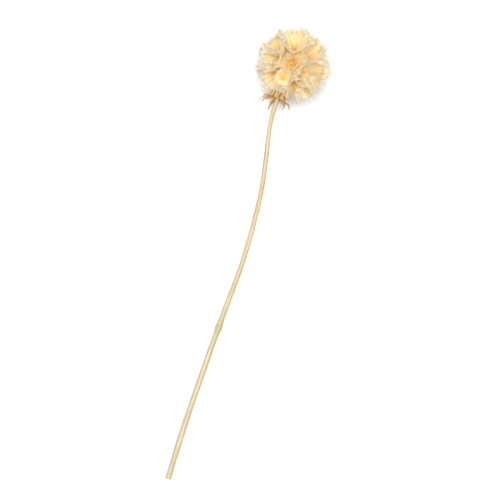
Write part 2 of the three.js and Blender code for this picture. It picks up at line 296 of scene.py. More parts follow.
def place_florets():
    """Where the florets point and how each has grown, as a dict of arrays with a row for each floret.

    The facing florets come first. The rest are taken from a golden-angle spiral round the head's axis
    wherever they stand the least spacing from every floret so far and the stem's spacing from the stem.
    """
    draw = draws_from(SEED)
    rows, axes = [], []
    long_side = direction_of(LONG_SIDE_TURN, 0)

    def add(axis, length, half_angle, fold, raised=0):
        """Takes on a floret, and makes the draws for its fold, its flare, its waves and its star."""
        gain = 1 + LONG_SIDE_GAIN * float(axis @ long_side)
        grown = [length * gain, THROAT_HEIGHT * gain + raised, math.radians(half_angle), fold]
        drawn = [next(draw) * math.pi, between(CUP_FLARES, next(draw))]
        drawn += [next(draw) * 2 * math.pi, next(draw) * 2 * math.pi]
        rows.append(grown + drawn)
        axes.append(axis)

    for x, y, z, length, half_angle, fold, raised in FACING_FLORETS:
        add(unit(np.array([x, y, z])), length, half_angle, fold, raised)
    golden = math.pi * (3 - math.sqrt(5))
    steps = np.arange(SPIRAL_POINTS)
    along = 1 - (2 * steps + 1) / SPIRAL_POINTS
    out = np.sqrt(1 - along**2)
    first, second = square_to(HEAD_AXIS)
    spiral = (
        along[:, None] * HEAD_AXIS
        + (out * np.cos(golden * steps))[:, None] * first
        + (out * np.sin(golden * steps))[:, None] * second
    )
    for axis in spiral:
        nearest = np.arccos(np.clip(np.array(axes) @ axis, -1, 1)).min()
        from_stem = math.acos(max(-1, min(1, float(-HEAD_AXIS @ axis))))
        if math.degrees(nearest) >= LEAST_SPACING and math.degrees(from_stem) >= STEM_SPACING:
            a, b, c = next(draw), next(draw), next(draw)
            add(axis, between(CUP_LENGTHS, a), between(CUP_HALF_ANGLES, b), between(CUP_FOLDS, c))
    table = np.array(rows)
    names = ("length", "throat", "half_angle", "fold", "fold_turn", "flare", "wave_turn", "star_turn")
    florets = {name: table[:, k] for k, name in enumerate(names)}
    rng = np.random.default_rng(SEED)
    florets["share"] = rng.uniform(*CUP_SHARES, len(table))
    florets["tilt"] = rng.uniform(0, CUP_TILT, len(table))
    florets["tilt_turn"] = rng.uniform(0, 2 * math.pi, len(table))
    florets["tilt"][0], florets["tilt_turn"][0] = FRONT_CUP_NOD
    florets["squash"] = rng.uniform(0.2, 1, len(table)) * CUP_SQUASH
    florets["squash_turn"] = rng.uniform(0, 2 * math.pi, len(table))
    florets["axis"] = np.array(axes)
    florets["first"], florets["second"] = square_to(florets["axis"])
    return florets


def around(florets, turns):
    """Unit vectors out from each floret's axis at each turn: (florets, turns, 3)."""
    return circle(florets["first"], florets["second"], turns)


def lean_of(florets, turns):
    """How far each cup's wall leans out from its axis at each turn, in radians: (florets, turns).

    A cup may fill its own cell of the globe, whose sides are the planes halfway to its neighbours and to
    the stem. The slope to the nearest plane is the cup's share over the eighth root of the sum of the
    eighth powers of (how squarely the turn faces a neighbour) / (sine of half the angle between them). The
    wall's lean is the one that takes it from the throat to that slope at the cup's length, or the free
    half-angle and a little, whichever is less. The fold pinches it by the square of the cosine from the
    fold's turn, the tilt adds a cosine of the turn, so that the whole cup nods to one side, and the squash
    adds a cosine of twice the turn.
    """
    e = around(florets, turns)
    others = np.vstack([florets["axis"], -HEAD_AXIS])
    apart = others[None] - florets["axis"][:, None]
    gap = np.linalg.norm(apart, axis=-1)
    real = gap > 1e-6
    normal = apart / np.where(real, gap, 1)[..., None]
    half_sine = -np.einsum("nk,nmk->nm", florets["axis"], normal)
    facing = np.einsum("nck,nmk->nmc", e, normal)
    use = real[..., None] & (facing > 0.05)
    terms = np.where(use, np.maximum(facing, 0) / np.where(real, half_sine, 1)[..., None], 0) ** 8
    slope = florets["share"][:, None] / np.maximum(terms.sum(axis=1), 1e-9) ** (1 / 8)
    spare = florets["throat"][:, None] * slope - THROAT_RADIUS
    reach = spare / (florets["length"][:, None] * np.hypot(1, slope))
    crowded = np.arctan(slope) + np.arcsin(np.clip(reach, -1, 1))
    folded = 1 - florets["fold"][:, None] * np.cos(turns - florets["fold_turn"][:, None]) ** 2
    nod = florets["tilt"][:, None] * np.cos(turns - florets["tilt_turn"][:, None])
    squash = florets["squash"][:, None] * np.cos(2 * turns - florets["squash_turn"][:, None])
    return np.minimum(crowded, florets["half_angle"][:, None] + CUP_OPENS) * folded + nod + squash


def membrane_edge(florets, turns):
    """The share of each cup's length at which its membrane ends: (florets, turns).

    It is the edge's share, a tooth that rises to each rib as a cosine, and two waves of 5 and 13 to a turn.
    """
    wave = florets["wave_turn"][:, None]
    teeth = EDGE_TOOTH * (0.5 + 0.5 * np.cos(RIBS * turns))
    return EDGE_AT + teeth + 0.025 * np.sin(5 * turns + wave) + 0.02 * np.sin(13 * turns + 3 * wave)


def above_floor(points):
    """Points pressed flat where they would pass through the surface.

    A height z under the pressed height p becomes p * e^((z - p) / p), which is always above 0 and keeps the
    order of the layers.
    """
    z = points[..., 2]
    pressed = PRESSED * np.exp(np.minimum(z - PRESSED, 0) / PRESSED)
    return np.concatenate([points[..., :2], np.where(z < PRESSED, pressed, z)[..., None]], axis=-1)


def cup_points(florets, turns, along, offset):
    """Points on the cups' walls: (florets, steps, turns, 3).

    along has the shape (florets, steps, turns) and runs from 0 at the throat to 1 at the rim. The distance
    out is the throat's radius plus length * (along + flare * (along^2 - along)) * sin(lean), the height is
    the throat's plus length * along * cos(lean), and the offset moves the point square to the wall. The rim
    rises and falls in a few uneven waves.
    """
    lean = lean_of(florets, turns)[:, None]
    wave = florets["wave_turn"][:, None, None]
    uneven = 1 + RIM_WAVE * (np.sin(3 * turns + wave) + 0.7 * np.sin(7 * turns + 2 * wave))
    length = florets["length"][:, None, None] * (1 + (uneven - 1) * along**2)
    flared = along + (florets["flare"][:, None, None] + CUP_BELL) * (along**2 - along)
    out = THROAT_RADIUS + length * flared * np.sin(lean) + offset * np.cos(lean)
    height = florets["throat"][:, None, None] + length * along * np.cos(lean) - offset * np.sin(lean)
    e = around(florets, turns)[:, None]
    return HEAD_CENTRE + out[..., None] * e + height[..., None] * florets["axis"][:, None, None]


def ripple(florets, turns, along):
    """How far a cup's wall stands out of its smooth shape: (florets, steps, turns).

    A cosine makes a pleat for each rib, deeper towards the rim. Three sines of 4, 7 and 12 to a turn make
    soft folds that grow with the square of the distance along the wall, and are deeper on a cup that is
    folded more.
    """
    wave = florets["wave_turn"][:, None, None]
    ribs = RIB_PLEAT * (0.2 + 0.8 * along**1.3) * np.cos(RIBS * turns)
    broad = np.sin(4 * turns + 3 * wave) + 0.6 * np.sin(7 * turns + 5 * wave)
    lobes = broad + 0.35 * np.sin(12 * turns + 2 * wave)
    depth = FOLD_DEPTH * (0.4 + 2 * florets["fold"]) * np.minimum(1, florets["length"] / GROWN_CUP)
    return ribs + depth[:, None, None] * along**2 * lobes


def wall_lines(florets, turns, stations):
    """Lines up the cups' walls at stations in shares of the membrane's edge, that edge and their headings."""
    edge = membrane_edge(florets, turns)
    along = np.array(stations)[None, :, None] * edge[:, None]
    wall = cup_points(florets, turns, along, ripple(florets, turns, along))
    return wall, edge, unit(wall[:, -1] - wall[:, -2])


def free_end(root, free, heading, spread, bends):
    """A free end's middle and tip. Each half goes along the heading plus its own bend times the spread."""
    middle = root + 0.5 * free[..., None] * unit(heading + bends[0] * spread)
    return middle, middle + 0.5 * free[..., None] * unit(heading + bends[1] * spread)


def stem_route(samples):
    """Points at even distances along the stem's middle, and the share of its length at each.

    The route is a centripetal spline: each stretch is a cubic through two points, with tangents from the
    points on either side weighted by the square roots of the distances between them.
    """
    top = RECEPTACLE_BASE + STEM_JOINT_GAP
    straight = [-HEAD_AXIS * (top + d) for d in (0, STRAIGHT_BELOW_HEAD / 2, STRAIGHT_BELOW_HEAD)]
    p = np.vstack([straight, np.array(STEM_ROUTE)]) + HEAD_CENTRE
    p = np.vstack([2 * p[0] - p[1], p, 2 * p[-1] - p[-2]])
    p0, p1, p2, p3 = p[:-3], p[1:-2], p[2:-1], p[3:]
    d0, d1, d2 = (np.linalg.norm(b - a, axis=1)[:, None] ** 0.5 for a, b in ((p0, p1), (p1, p2), (p2, p3)))
    t1 = ((p1 - p0) / d0 - (p2 - p0) / (d0 + d1) + (p2 - p1) / d1) * d1
    t2 = ((p2 - p1) / d1 - (p3 - p1) / (d1 + d2) + (p3 - p2) / d2) * d1
    t = np.linspace(0, 1, 60, endpoint=False)[None, :, None]
    p1, p2, t1, t2 = p1[:, None], p2[:, None], t1[:, None], t2[:, None]
    curve = p1 + t1 * t + (-3 * p1 + 3 * p2 - 2 * t1 - t2) * t**2 + (2 * p1 - 2 * p2 + t1 + t2) * t**3
    curve = np.vstack([curve.reshape(-1, 3), p[-2]])
    walked = np.concatenate([[0], np.cumsum(np.linalg.norm(np.diff(curve, axis=0), axis=1))])
    share = np.linspace(0, 1, samples)
    return np.stack([np.interp(share * walked[-1], walked, curve[:, k]) for k in range(3)], axis=1), share


def fill_mesh(name, points, faces, uv=None):
    """A mesh object of points in millimetres and arrays of faces, with a corner map called surface.

    faces is a list of (n, 3) or (n, 4) index arrays and uv a list of matching (n, corners, 2) arrays.
    """
    mesh = bpy.data.meshes.new(name)
    counts = np.concatenate([np.full(len(f), f.shape[1]) for f in faces])
    corners = np.concatenate([f.ravel() for f in faces])
    mesh.vertices.add(len(points))
    mesh.vertices.foreach_set("co", (points * MM).astype(np.float32).ravel())
    mesh.loops.add(len(corners))
    mesh.loops.foreach_set("vertex_index", corners.astype(np.int32))
    mesh.polygons.add(len(counts))
    starts = np.concatenate([[0], np.cumsum(counts)[:-1]])
    mesh.polygons.foreach_set("loop_start", starts.astype(np.int32))
    mesh.polygons.foreach_set("use_smooth", np.full(len(counts), True))
    mesh.update(calc_edges=True)
    if uv is not None:
        layer = mesh.uv_layers.new(name="surface")
        flat = np.concatenate([u.reshape(-1, 2) for u in uv])
        layer.data.foreach_set("uv", flat.astype(np.float32).ravel())
    mesh.validate()
    piece = bpy.data.objects.new(name, mesh)
    bpy.context.collection.objects.link(piece)
    return piece


def ring_quads(rows, rings, sides, v):
    """Quads from each ring to the next for so many rows, the last to the first, and their corner maps."""
    r, c = np.meshgrid(np.arange(rows), np.arange(sides), indexing="ij")
    n, up = (c + 1) % sides, (r + 1) % rings
    quad = np.stack([r * sides + c, r * sides + n, up * sides + n, up * sides + c], axis=-1).reshape(-1, 4)
    low, high, left, right = v[r], v[r + 1], c / sides, (c + 1) / sides
    return quad, np.stack([left, low, right, low, right, high, left, high], axis=-1).reshape(-1, 4, 2)


def skin_rings(points, v_of_ring):
    """Closed skins over rings of points: (pieces, rings, around, 3) to points, faces and corner maps.

    Each ring runs anticlockwise seen from the next, and both end rings close on a pole at their middle. In
    the corner map u runs once round and v is the ring's given value.
    """
    count, rings, sides, _ = points.shape
    poles = points[:, [0, -1]].mean(axis=2)
    flat = np.concatenate([points.reshape(count, -1, 3), poles], axis=1)
    v = np.asarray(v_of_ring, dtype=float)
    quad, quad_uv = ring_quads(rings - 1, rings, sides, v)
    k = np.arange(sides)
    m = (k + 1) % sides
    last = (rings - 1) * sides
    south = np.stack([np.full(sides, rings * sides), m, k], axis=-1)
    north = np.stack([np.full(sides, rings * sides + 1), last + k, last + m], axis=-1)
    mid = (k + 0.5) / sides
    start, end = np.full(sides, v[0]), np.full(sides, v[-1])
    south_uv = np.stack([mid, start, (k + 1) / sides, start, k / sides, start], axis=-1).reshape(-1, 3, 2)
    north_uv = np.stack([mid, end, k / sides, end, (k + 1) / sides, end], axis=-1).reshape(-1, 3, 2)
    shift = (np.arange(count) * (rings * sides + 2))[:, None, None]
    tris = np.concatenate([south, north])
    tris_uv = np.concatenate([south_uv, north_uv])
    return (
        flat.reshape(-1, 3),
        [(quad + shift).reshape(-1, 4), (tris + shift).reshape(-1, 3)],
        [np.tile(quad_uv, (count, 1, 1)), np.tile(tris_uv, (count, 1, 1))],
    )


def joined(first, second):
    """Two skins as one: the second's faces count on from the first's points."""
    points = np.concatenate([first[0], second[0]])
    shift = len(first[0])
    faces = [first[1][0], second[1][0] + shift, first[1][1], second[1][1] + shift]
    uv = [first[2][0], second[2][0], first[2][1], second[2][1]]
    return points, faces, uv


def threads(paths, radii, side_of, sides=3):
    """Rings of points for tapered threads along paths: (threads, steps, 3) to (threads, steps, sides, 3).

    At each step the ring is the radius times (cos of the turn along the side direction + sin of it along
    the direction square to that and to the path).
    """
    along = unit(np.gradient(paths, axis=1))
    first = unit(np.cross(side_of, along))
    second = np.cross(along, first)
    return paths[:, :, None] + circle(first, second, full_turn(sides)) * radii[..., None, None]


def dress(piece, material, node):
    """Gives a piece its material, hides the solid that it replaces, and lets it ride on the one body."""
    piece.data.materials.append(material)
    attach(piece, "root")
    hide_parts(node)


# Materials. A noise texture's scale is its number of cells to a metre, so a cell is 1000 / scale mm wide.


def new_material(name):
    """An empty node material, its tree and its output."""
    material = bpy.data.materials.new(name)
    material.use_nodes = True
    tree = material.node_tree
    tree.nodes.clear()
    return material, tree, tree.nodes.new("ShaderNodeOutputMaterial")


def add_node(tree, kind, settings=None, links=None):
    """Adds a node. settings sets inputs by name, or its own properties, and links joins inputs to sockets."""
    node = tree.nodes.new(kind)
    for key, value in (settings or {}).items():
        if key in node.inputs:
            node.inputs[key].default_value = value
        else:
            setattr(node, key, value)
    for key, socket in (links or {}).items():
        tree.links.new(socket, node.inputs[key])
    return node


def set_ramp(ramp, stops):
    """Sets a colour ramp to (place, hex colour) stops."""
    elements = ramp.color_ramp.elements
    while len(elements) > 1:
        elements.remove(elements[-1])
    elements[0].position = stops[0][0]
    elements[0].color = (*linear(stops[0][1]), 1)
    for place, code in stops[1:]:
        elements.new(place).color = (*linear(code), 1)


def thin_surface(tree, output, colour, settings, through):
    """A thin dry skin: a reflecting surface, mixed with one that this share of the light glows through."""
    surface = add_node(tree, "ShaderNodeBsdfPrincipled", settings, {"Base Color": colour})
    glow = add_node(tree, "ShaderNodeBsdfTranslucent", links={"Color": colour})
    shaders = {1: surface.outputs[0], 2: glow.outputs[0]}
    both = add_node(tree, "ShaderNodeMixShader", {"Fac": through}, shaders)
    tree.links.new(both.outputs[0], output.inputs["Surface"])


def papery_membrane():
    """Bleached dry papery membrane, thin enough for light to glow through.

    The eye sees pale cream at the rim and a warmer straw yellow down in the throat, darker lines between
    the ribs, and mottling about 4 mm wide. The throat's warmer yellow is partly the membrane's own tone
    and partly painted shade, the warm dimness deep in the cup. A wave texture has 20 / (2 pi) bands to a
    unit at scale 1, and one unit of the corner map is a whole turn, so the scale gives a band for each
    rib. Most of the light goes through, and the rest comes off a matt face with the faintest sheen.
    """
    material, tree, output = new_material("bleached_papery_membrane")
    where = {"Vector": add_node(tree, "ShaderNodeTexCoord").outputs["Object"]}
    corner = {"Vector": add_node(tree, "ShaderNodeUVMap", {"uv_map": "surface"}).outputs["UV"]}
    parts = add_node(tree, "ShaderNodeSeparateXYZ", links=corner)
    # The throat's warmer yellow is partly the membrane's own tone and partly painted shade of the cup's
    # depth.
    depth = add_node(tree, "ShaderNodeValToRGB", links={"Fac": parts.outputs["Y"]})
    throat = [(0.0, "#FFF3CC"), (0.2, "#FFF9E0"), (0.45, "#FFFCED")]
    set_ramp(depth, throat + [(0.7, "#FBF9F0"), (0.9, "#F1F0EA")])
    bands = {"wave_type": "BANDS", "bands_direction": "X", "Phase Offset": math.pi}
    bands["Scale"] = RIBS * 2 * math.pi / 20
    stripes = add_node(tree, "ShaderNodeTexWave", bands, corner)
    stripe_shade = add_node(tree, "ShaderNodeValToRGB", links={"Fac": stripes.outputs["Fac"]})
    set_ramp(stripe_shade, [(0.15, "#FFF1CE"), (0.6, "#FFFFFF")])
    mottle = add_node(tree, "ShaderNodeTexNoise", {"Scale": 260.0, "Detail": 3.0}, where)
    mottle_shade = add_node(tree, "ShaderNodeValToRGB", links={"Fac": mottle.outputs["Fac"]})
    set_ramp(mottle_shade, [(0.35, "#FFFAEC"), (0.65, "#FFFFFF")])
    multiply = {"data_type": "RGBA", "blend_type": "MULTIPLY"}
    shades = {6: depth.outputs["Color"], 7: stripe_shade.outputs["Color"]}
    striped = add_node(tree, "ShaderNodeMix", {**multiply, "Factor": 0.85}, shades)
    shades = {6: striped.outputs[2], 7: mottle_shade.outputs["Color"]}
    base = add_node(tree, "ShaderNodeMix", {**multiply, "Factor": 0.6}, shades)
    finish = {"Roughness": 0.62, "Specular IOR Level": 0.35, "Sheen Weight": 0.15, "Sheen Roughness": 0.5}
    thin_surface(tree, output, base.outputs[2], finish, 0.9)
    return material


def ray_straw():
    """Bleached straw-like ray: a stiff thread that light goes through, cream at its root, greyer above."""
    material, tree, output = new_material("bleached_ray_straw")
    corner = {"Vector": add_node(tree, "ShaderNodeUVMap", {"uv_map": "surface"}).outputs["UV"]}
    parts = add_node(tree, "ShaderNodeSeparateXYZ", links=corner)
    depth = add_node(tree, "ShaderNodeValToRGB", links={"Fac": parts.outputs["Y"]})
    set_ramp(depth, [(0.0, "#FFF3D4"), (0.5, "#FCF6E6"), (0.85, "#F3EFE5"), (1.0, "#F1EDE3")])
    thin_surface(tree, output, depth.outputs["Color"], {"Roughness": 0.5, "Specular IOR Level": 0.4}, 0.75)
    return material


def solid_surface(tree, output, colour, roughness, height, strength, depth):
    """A thick dry surface of a colour and roughness, with bumps from a height pattern, their depth in mm."""
    bumps = {"Strength": strength, "Distance": depth * MM}
    raised = add_node(tree, "ShaderNodeBump", bumps, {"Height": height})
    finish = {"Roughness": roughness, "Specular IOR Level": 0.35}
    links = {"Base Color": colour, "Normal": raised.outputs["Normal"]}
    surface = add_node(tree, "ShaderNodeBsdfPrincipled", finish, links)
    tree.links.new(surface.outputs[0], output.inputs["Surface"])


def plain_organic(name, stops, scale, roughness, bump):
    """A dry plant surface: a colour ramp over noise of a given scale, with 0.2 mm bumps of that pattern."""
    material, tree, output = new_material(name)
    where = {"Vector": add_node(tree, "ShaderNodeTexCoord").outputs["Object"]}
    noise = add_node(tree, "ShaderNodeTexNoise", {"Scale": scale, "Detail": 4.0}, where)
    shade = add_node(tree, "ShaderNodeValToRGB", links={"Fac": noise.outputs["Fac"]})
    set_ramp(shade, stops)
    solid_surface(tree, output, shade.outputs["Color"], roughness, noise.outputs["Fac"], bump, 0.2)
    return material


def calyx_straw():
    """Bleached calyx straw: firm, warm tan and a little glossy, with a grain of 1.1 mm."""
    return plain_organic("bleached_calyx_straw", [(0.3, "#BC8240"), (0.7, "#CC9556")], 900.0, 0.5, 0.2)


def receptacle_pith():
    """Dry receptacle pith: matt and spongy in 2 mm cells, a warm yellow that tints light among the cups."""
    return plain_organic("dry_receptacle_pith", [(0.3, "#FFD998"), (0.7, "#FFEBC2")], 500.0, 0.85, 0.5)


def stem_pith():
    """Dry cut pith: a pale, matt, spongy core inside the stalk's rind, with cells 0.45 mm wide."""
    return plain_organic("dry_stem_pith", [(0.3, "#D8C79C"), (0.7, "#EFE4C4")], 2200.0, 0.9, 0.4)


def fibrous(name, stops, drift_stops, stretch, drift_scale, roughness):
    """A dry stalk or blade: a colour ramp over fibres, tinted by a slow drift, with bumps 0.1 mm deep.

    The stretch is the number of noise cells round the piece and along it, so fibres are long where the
    second is small beside the piece's length.
    """
    material, tree, output = new_material(name)
    where = {"Vector": add_node(tree, "ShaderNodeTexCoord").outputs["Object"]}
    corner = {"Vector": add_node(tree, "ShaderNodeUVMap", {"uv_map": "surface"}).outputs["UV"]}
    stretched = add_node(tree, "ShaderNodeMapping", {"Scale": stretch}, corner)
    fineness = {"Scale": 1.0, "Detail": 5.0, "Roughness": 0.6}
    fibre = add_node(tree, "ShaderNodeTexNoise", fineness, {"Vector": stretched.outputs[0]})
    shade = add_node(tree, "ShaderNodeValToRGB", links={"Fac": fibre.outputs["Fac"]})
    set_ramp(shade, stops)
    drift = add_node(tree, "ShaderNodeTexNoise", {"Scale": drift_scale, "Detail": 2.0}, where)
    drift_shade = add_node(tree, "ShaderNodeValToRGB", links={"Fac": drift.outputs["Fac"]})
    set_ramp(drift_shade, drift_stops)
    multiply = {"data_type": "RGBA", "blend_type": "MULTIPLY", "Factor": 0.8}
    shades = {6: shade.outputs["Color"], 7: drift_shade.outputs["Color"]}
    base = add_node(tree, "ShaderNodeMix", multiply, shades)
    solid_surface(tree, output, base.outputs[2], roughness, fibre.outputs["Fac"], 0.35, 0.1)
    return material


def straw_stalk():
    """Dry straw stalk: pale fibres 0.3 mm wide, a peach and greenish drift every 22 mm, and a satin face."""
    fibres = [(0.3, "#7F7158"), (0.5, "#92846C"), (0.72, "#A39884")]
    drift = [(0.35, "#EDF0D8"), (0.5, "#FFF9EA"), (0.66, "#FFEAD0")]
    return fibrous("dry_straw_stalk", fibres, drift, (26.0, 14.0, 1.0), 45.0, 0.5)


def brown_bract():
    """Dry brown bract: a shrivelled leafy blade, quite matt, with veins 0.25 mm wide and blotches of 4 mm."""
    fibres = [(0.3, "#6C5130"), (0.5, "#99794A"), (0.72, "#C8AE79")]
    drift = [(0.35, "#E6DCC0"), (0.5, "#FFF6E4"), (0.66, "#FFE6C6")]
    return fibrous("dry_brown_bract", fibres, drift, (18.0, 3.0, 1.0), 260.0, 0.85)


def paper(colour):
    """Matt white paper: an even, soft white with no gloss, whose grain is too fine to show."""
    material, tree, output = new_material("matt_white_paper")
    surface = add_node(tree, "ShaderNodeBsdfPrincipled", {"Base Color": (*colour, 1), "Roughness": 0.9})
    tree.links.new(surface.outputs[0], output.inputs["Surface"])
    return material


class ScabiosaHeadSettings(bpy.types.PropertyGroup):
    """Sizes of the seed head's papery parts."""

    ray_length: bpy.props.FloatProperty(
        name="Ray length",
        description="How far rays may run on past the cup's rim. Each takes a drawn share of it",
        default=1.4 * MM,
        min=0.0,
        max=4 * MM,
        subtype="DISTANCE",
        unit="LENGTH",
    )
    ray_radius: bpy.props.FloatProperty(
        name="Ray radius",
        description="Half the thickness of a rib at its stoutest",
        default=0.13 * MM,
        min=0.02 * MM,
        max=0.3 * MM,
        subtype="DISTANCE",
        unit="LENGTH",
    )


class ScabiosaStageSettings(bpy.types.PropertyGroup):
    """The floor, the light and the camera."""

    floor_colour: bpy.props.FloatVectorProperty(
        name="Floor colour",
        description="Colour of the paper that the stem lies on",
        default=linear("#BBBAB8"),
        min=0.0,
        max=1.0,
        subtype="COLOR",
    )
    surround: bpy.props.FloatProperty(
        name="Surround",
        description="Strength of the white light from all round",
        default=0.74,
        min=0.0,
        max=2.0,
    )
    elevation: bpy.props.FloatProperty(
        name="Camera elevation",
        description="How steeply the camera looks down on the stem",
        default=math.radians(82),
        subtype="ANGLE",
        unit="ROTATION",
    )


class SCABIOSA_OT_cups(bpy.types.Operator):
    """Builds the florets' tubes and papery cups as thin closed skins"""

    bl_idname = "scabiosa.cups"
    bl_label = "Cups"

    def execute(self, context):
        """Each skin runs up the tube, whose radius is its ring's times 1 + the flutes' depth * cos(flutes *
        turn), then up the outside of the cup's wall, down its inside, and ends on the plug in the throat.
        """
        florets = place_florets()
        turns = full_turn(RIBS * TURNS_PER_RIB)
        share = np.linspace(0, 1, CUP_RINGS)
        along = share[None, :, None] * membrane_edge(florets, turns)[:, None]
        waves = ripple(florets, turns, along)
        outside = cup_points(florets, turns, along, waves + MEMBRANE / 2)
        inside = cup_points(florets, turns, along[:, ::-1], waves[:, ::-1] - MEMBRANE / 2)
        e = around(florets, turns)[:, None]
        axes = florets["axis"][:, None, None]
        heights = TUBE_ROOT_HEIGHT + (florets["throat"][:, None] - TUBE_ROOT_HEIGHT) * np.array(TUBE_SHARES)
        fluted = 1 + FLUTE_DEPTH * np.cos(TUBE_FLUTES * turns)
        out = (np.array(TUBE_RADII)[None, :, None] * fluted)[..., None] * e
        tube = HEAD_CENTRE + out + heights[..., None, None] * axes
        plug = HEAD_CENTRE + PLUG_RADIUS * e + (florets["throat"] + PLUG_RISE)[:, None, None, None] * axes
        rings = above_floor(np.concatenate([tube, outside, inside, plug], axis=1))
        # In the corner map the tube runs to 0.12, and the wall from there to 0.9 at its edge and back again.
        v = np.concatenate([[0.0, 0.04, 0.08], 0.12 + 0.78 * share, 0.12 + 0.78 * share[::-1], [0.1]])
        cups = fill_mesh("cups", *skin_rings(rings, v))
        dress(cups, papery_membrane(), "seed_head")
        return {"FINISHED"}


class SCABIOSA_OT_rays(bpy.types.Operator):
    """Builds the rib of each pleat, running on past the rim as a stiff ray, with finer hairs between"""

    bl_idname = "scabiosa.rays"
    bl_label = "Ribs and rays"

    def execute(self, context):
        """Each thread follows the wall to the membrane's edge and runs on the way that it was heading,
        turned a little by a normal draw. A hair starts just under the edge.
        """
        head = context.scene.scabiosa_head
        rng = np.random.default_rng(SEED)
        florets = place_florets()
        count = len(florets["axis"])
        thick = head.ray_radius / MM
        extra = head.ray_length / MM
        length = florets["length"][:, None]

        turns = full_turn(RIBS)
        wall, edge, heading = wall_lines(florets, turns, RIB_STATIONS)
        spread = rng.normal(0, RAY_SCATTER, heading.shape)
        free = (1 - edge) * length + extra * rng.uniform(*RAY_EXTRA, edge.shape)
        middle, tip = free_end(wall[:, -1], free, heading, spread, RAY_BENDS)
        paths = np.concatenate([wall, middle[:, None], tip[:, None]], axis=1)
        paths = paths.transpose(0, 2, 1, 3).reshape(count * RIBS, len(RIB_TAPER), 3)
        rings = threads(paths, thick * np.array(RIB_TAPER), around(florets, turns).reshape(-1, 1, 3))
        ribs = skin_rings(above_floor(rings), RIB_SHADES)

        fine = RIBS * HAIRS_PER_RIB
        jitter = rng.uniform(-HAIR_JITTER, HAIR_JITTER, fine)
        halfway = np.arange(fine) % HAIRS_PER_RIB == 0
        at = np.arange(fine) + HAIRS_PER_RIB // 2 + np.where(halfway, HAIR_JITTER, 1) * jitter
        turns = 2 * np.pi * at / fine
        wall, edge, heading = wall_lines(florets, turns, HAIR_START)
        spread = rng.normal(0, RAY_SCATTER, heading.shape)
        stout_share = rng.uniform(*STOUT_HAIR_SHARES, edge.shape)
        share = np.where(halfway, stout_share, rng.uniform(*HAIR_SHARES, edge.shape))
        root = wall[:, 1] - HAIR_ROOT * heading
        middle, tip = free_end(root, (1 - edge) * length * share, heading, spread, HAIR_BENDS)
        paths = np.stack([root, middle, tip], axis=2).reshape(count * fine, 3, 3)
        stout = np.tile(np.where(halfway, STOUT_HAIR_RADIUS, HAIR_RADIUS), count)[:, None]
        rings = threads(paths, thick * stout * np.array(HAIR_TAPER), around(florets, turns).reshape(-1, 1, 3))
        hairs = skin_rings(above_floor(rings), HAIR_SHADES)
        rays = fill_mesh("rays", *joined(ribs, hairs))
        dress(rays, ray_straw(), "seed_head")
        return {"FINISHED"}


class SCABIOSA_OT_stars(bpy.types.Operator):
    """Builds the calyx on the floor of each cup: a small knob and five long arms"""

    bl_idname = "scabiosa.stars"
    bl_label = "Stars"

    def execute(self, context):
        """Each arm runs from the knob's foot to just clear of the wall, which leans out by the arm's lean.
        The knob's radius is its ring's times 1 + the lobes' depth * cos(5 * turn).
        """
        rng = np.random.default_rng(SEED + 2)
        florets = place_florets()
        count = len(florets["axis"])
        axes = florets["axis"][:, None, None]
        throat = florets["throat"][:, None, None]
        e = around(florets, florets["star_turn"][:, None] + full_turn(STAR_ARMS))
        s = np.linspace(0, 1, len(ARM_RADII))
        grown = np.minimum(1, florets["length"] / GROWN_CUP)[:, None, None]
        rise = ARM_RISE * grown * s[None, :, None] * rng.uniform(*ARM_RISE_SHARES, (count, 1, STAR_ARMS))
        up = ARM_FOOT_RISE + rise
        wall = THROAT_RADIUS + up * math.tan(math.radians(ARM_LEAN))
        out = ARM_FOOT_OUT + s[None, :, None] * (ARM_CLEAR * wall - ARM_FOOT_OUT)
        paths = HEAD_CENTRE + out[..., None] * e[:, None] + (throat + up)[..., None] * axes
        paths = paths.transpose(0, 2, 1, 3).reshape(count * STAR_ARMS, len(s), 3)
        radii = np.repeat(0.5 + 0.5 * grown.ravel(), STAR_ARMS)[:, None] * np.array(ARM_RADII)
        rings = threads(paths, radii, e.reshape(-1, 1, 3), sides=4)
        arms = skin_rings(above_floor(rings), s)

        turns = full_turn(KNOB_SIDES)
        e = around(florets, turns)[:, None]
        lobed = 1 + KNOB_LOBE * np.cos(STAR_ARMS * (turns - florets["star_turn"][:, None]))
        out = (np.array(KNOB_RADII)[None, :, None] * lobed[:, None])[..., None] * e
        knob = HEAD_CENTRE + out + (throat + np.array(KNOB_HEIGHTS)[None, :, None])[..., None] * axes
        knobs = skin_rings(above_floor(knob), [0, 0, 0, 0.1])
        stars = fill_mesh("stars", *joined(arms, knobs))
        dress(stars, calyx_straw(), "seed_head")
        return {"FINISHED"}


class SCABIOSA_OT_receptacle(bpy.types.Operator):
    """Builds the pitted receptacle that the florets stand on"""

    bl_idname = "scabiosa.receptacle"
    bl_label = "Receptacle"

    def execute(self, context):
        """A ball whose radius is its own times 1 + the pits' depth * sin(pits round * turn) * sin(pits up *
        polar angle), stretched below into a neck that reaches the flat on the stem.
        """
        turns = full_turn(RECEPTACLE_SIDES)
        polar = np.linspace(POLE_GAP, np.pi - POLE_GAP, RECEPTACLE_RINGS)
        pits = PIT_DEPTH * np.sin(PITS_ROUND * turns)[None] * np.sin(PITS_UP * polar)[:, None]
        radius = RECEPTACLE_RADIUS * (1 + pits)
        first, second = square_to(HEAD_AXIS)
        e = circle(first, second, turns)
        out = radius * np.sin(polar)[:, None]
        height = -radius * np.cos(polar)[:, None]
        drop = height < -RECEPTACLE_RADIUS * NECK_FROM
        height = np.where(drop, height * (RECEPTACLE_BASE - 0.02) / RECEPTACLE_RADIUS, height)
        out = np.where(drop, np.maximum(out, NECK_RADIUS), out)
        points = HEAD_CENTRE + out[..., None] * e[None] + height[..., None] * HEAD_AXIS
        core = fill_mesh("receptacle", *skin_rings(points[None], np.linspace(0, 1, len(polar))))
        dress(core, receptacle_pith(), "seed_head")
        return {"FINISHED"}


